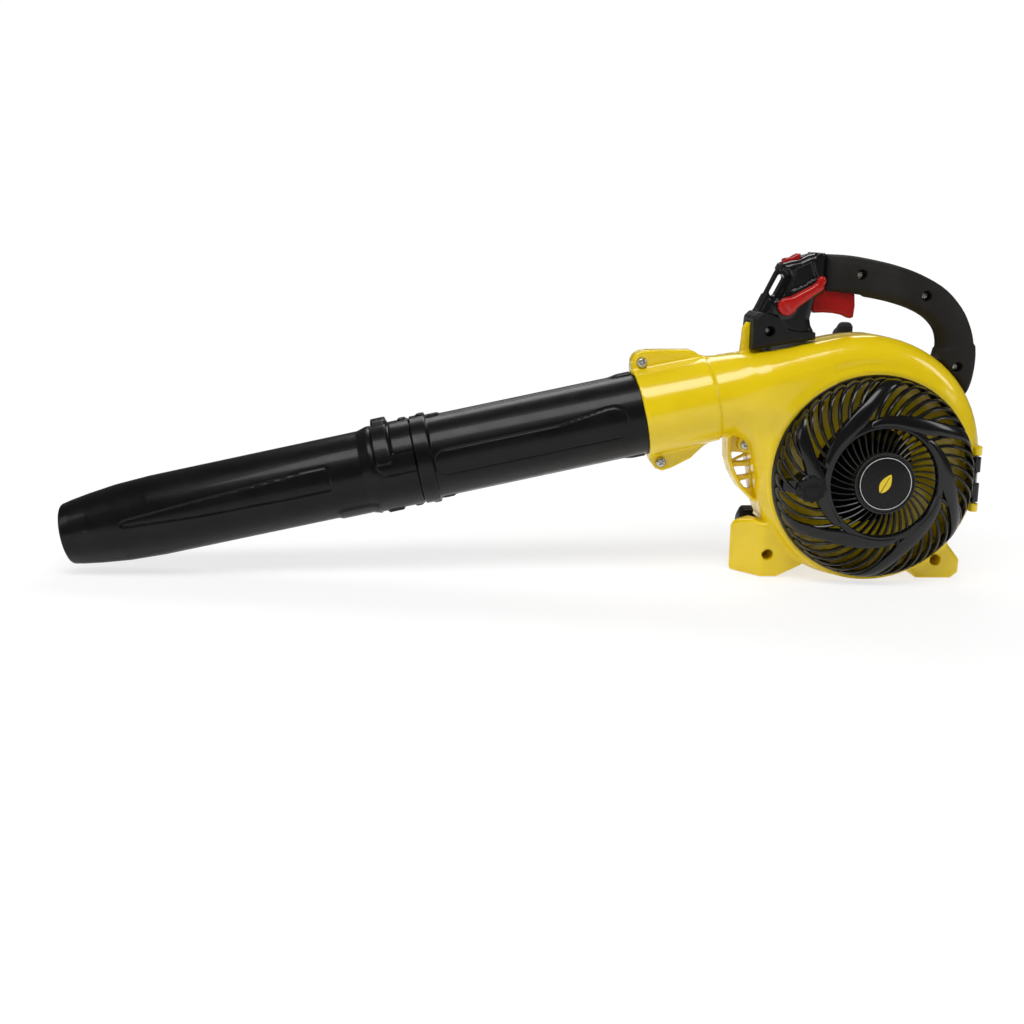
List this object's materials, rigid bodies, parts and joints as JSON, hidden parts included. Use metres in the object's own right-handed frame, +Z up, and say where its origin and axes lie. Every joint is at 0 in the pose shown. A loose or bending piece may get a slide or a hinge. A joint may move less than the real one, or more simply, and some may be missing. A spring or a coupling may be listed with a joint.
{
  "type": "handheld petrol leaf blower",
  "caption": "Handheld petrol leaf blower: scroll fan casing with hinged intake grille, twist-on blow tube, loop handle, throttle controls and two-stroke engine with recoil starter.",
  "frame": {"origin": "middle of the bottom of the bounding box, on the surface that the feet stand on", "axes": "+Z up, -X along the blow tube towards its tip, -Y towards the intake grille, +Y towards the recoil starter"},
  "size_m": [0.968, 0.2314, 0.3425],
  "materials": {
    "yellow": "glossy injection-moulded ABS",
    "tube_black": "semi-gloss blow-moulded plastic",
    "black_gloss": "glossy moulded plastic",
    "black_matte": "fine-textured moulded plastic",
    "grip": "matte soft-touch plastic",
    "red": "glossy moulded plastic",
    "red_dark": "satin moulded plastic",
    "badge": "glossy disc with a thin silver ring",
    "zinc_screws": "zinc-plated screw steel",
    "steel": "machined steel",
    "muffler_steel": "heat-stained pressed steel",
    "cast_alloy": "die-cast aluminium",
    "rubber": "matte moulded rubber",
    "foam": "open-cell foam",
    "tank": "translucent milky polyethylene",
    "rope": "braided starter rope"
  },
  "bodies": {
    "root": {"volute_front": "yellow", "volute_rear": "yellow", "grille_hinge_pin": "steel", "clamp_screw_upper": "zinc_screws", "clamp_screw_lower": "zinc_screws", "web_screw": "zinc_screws", "upper_tube": "tube_black", "pillar_near": "black_gloss", "pillar_far": "black_gloss", "grip_near": "grip", "grip_far": "grip", "handle_screw_bracket": "zinc_screws", "handle_screw_front": "zinc_screws", "handle_screw_rear": "zinc_screws", "handle_screw_end": "zinc_screws", "bearing_front": "steel", "bearing_rear": "steel", "crankcase_front": "cast_alloy", "crankcase_rear": "cast_alloy", "cylinder": "cast_alloy", "ignition_coil": "black_matte", "spark_plug": "steel", "spark_plug_boot": "rubber", "ignition_lead": "rubber", "intake_manifold": "black_matte", "carburettor": "cast_alloy", "air_filter_base": "black_matte", "air_filter_element": "foam", "muffler": "muffler_steel", "engine_cover": "black_matte", "fuel_tank": "tank", "fuel_line": "rubber", "tank_mount": "rubber", "rear_foot_left": "rubber", "rear_foot_right": "rubber", "starter_housing": "black_matte", "recoil_spring": "steel", "starter_rope": "rope", "throttle_cable": "rubber"},
    "grille_body": {"grille": "black_gloss", "badge_disc": "badge"},
    "latch_body": {"grille_latch_knob": "black_matte"},
    "rotor": {"impeller": "black_matte", "impeller_nut": "steel", "crankshaft_front": "steel", "crankshaft_rear": "steel", "flywheel": "cast_alloy"},
    "piston_body": {"piston": "cast_alloy", "piston_pin": "steel", "connecting_rod": "steel"},
    "trigger_body": {"throttle_trigger": "red_dark"},
    "cruise_body": {"cruise_lever": "red"},
    "switch_body": {"stop_switch": "red"},
    "nozzle_body": {"nozzle_tube": "tube_black"},
    "choke_body": {"choke_lever": "red"},
    "primer_body": {"primer_bulb": "rubber"},
    "fuel_cap_body": {"fuel_cap": "black_matte"},
    "filter_cover_body": {"air_filter_cover": "black_matte"},
    "starter_handle_body": {"starter_handle": "black_matte"},
    "starter_pulley_body": {"starter_pulley": "black_matte"}
  },
  "joints": [
    {"name": "grille_hinge", "type": "hinge", "parent": "root", "child": "grille_body", "pos_m": [0.47164, -0.0793, 0.1125], "axis": [0, 0, 1], "range_deg": [0, 110]},
    {"name": "latch_turn", "type": "hinge", "parent": "grille_body", "child": "latch_body", "pos_m": [0.28613, -0.1063, 0.1055], "axis": [0, -1, 0], "range_deg": [0, 90]},
    {"name": "crank_spin", "type": "hinge", "parent": "root", "child": "rotor", "pos_m": [0.36113, -0.0163, 0.1125], "axis": [0, -1, 0], "continuous": true},
    {"name": "piston_slide", "type": "slide", "parent": "root", "child": "piston_body", "axis": [0, 0, 1], "range_m": [-0.028, 0]},
    {"name": "throttle_pull", "type": "hinge", "parent": "root", "child": "trigger_body", "pos_m": [0.30413, -0.0343, 0.3155], "axis": [0, -1, 0], "range_deg": [0, 14], "stiffness_Nm_per_rad": 0.6, "springref_deg": -5.73},
    {"name": "cruise_turn", "type": "hinge", "parent": "root", "child": "cruise_body", "pos_m": [0.26514, -0.0563, 0.2875], "axis": [0, 1, 0], "range_deg": [0, 45]},
    {"name": "stop_switch_rock", "type": "hinge", "parent": "root", "child": "switch_body", "pos_m": [0.27364, -0.0343, 0.3345], "axis": [0, 1, 0], "range_deg": [-8, 8]},
    {"name": "nozzle_twist", "type": "hinge", "parent": "root", "child": "nozzle_body", "pos_m": [0.19714, -0.0343, 0.189], "axis": [-0.9759, 0, -0.2181], "range_deg": [0, 16]},
    {"name": "choke_turn", "type": "hinge", "parent": "root", "child": "choke_body", "pos_m": [0.28813, 0.0637, 0.1805], "axis": [-1, 0, 0], "range_deg": [0, 40]},
    {"name": "primer_press", "type": "slide", "parent": "root", "child": "primer_body", "axis": [0, -1, 0], "range_m": [0, 0.004], "stiffness_N_per_m": 600, "springref_m": -0.001},
    {"name": "fuel_cap_turn", "type": "hinge", "parent": "root", "child": "fuel_cap_body", "pos_m": [0.26114, 0.0377, 0.0355], "axis": [-1, 0, 0], "range_deg": [0, 270]},
    {"name": "filter_cover_hinge", "type": "hinge", "parent": "root", "child": "filter_cover_body", "pos_m": [0.27514, 0.0447, 0.1315], "axis": [0, -1, 0], "range_deg": [0, 70]},
    {"name": "starter_pull", "type": "slide", "parent": "root", "child": "starter_handle_body", "axis": [0, 0, 1], "range_m": [0, 0.6], "stiffness_N_per_m": 8, "springref_m": -0.25, "deforming": ["starter_rope"]},
    {"name": "pulley_spin", "type": "hinge", "parent": "root", "child": "starter_pulley_body", "pos_m": [0.36113, 0.0927, 0.1125], "axis": [0, -1, 0], "range_deg": [0, 1350]}
  ],
  "couplings": [
    {"joint": "pulley_spin", "follows": "starter_pull", "rad_per_m": 39.216}
  ]
}
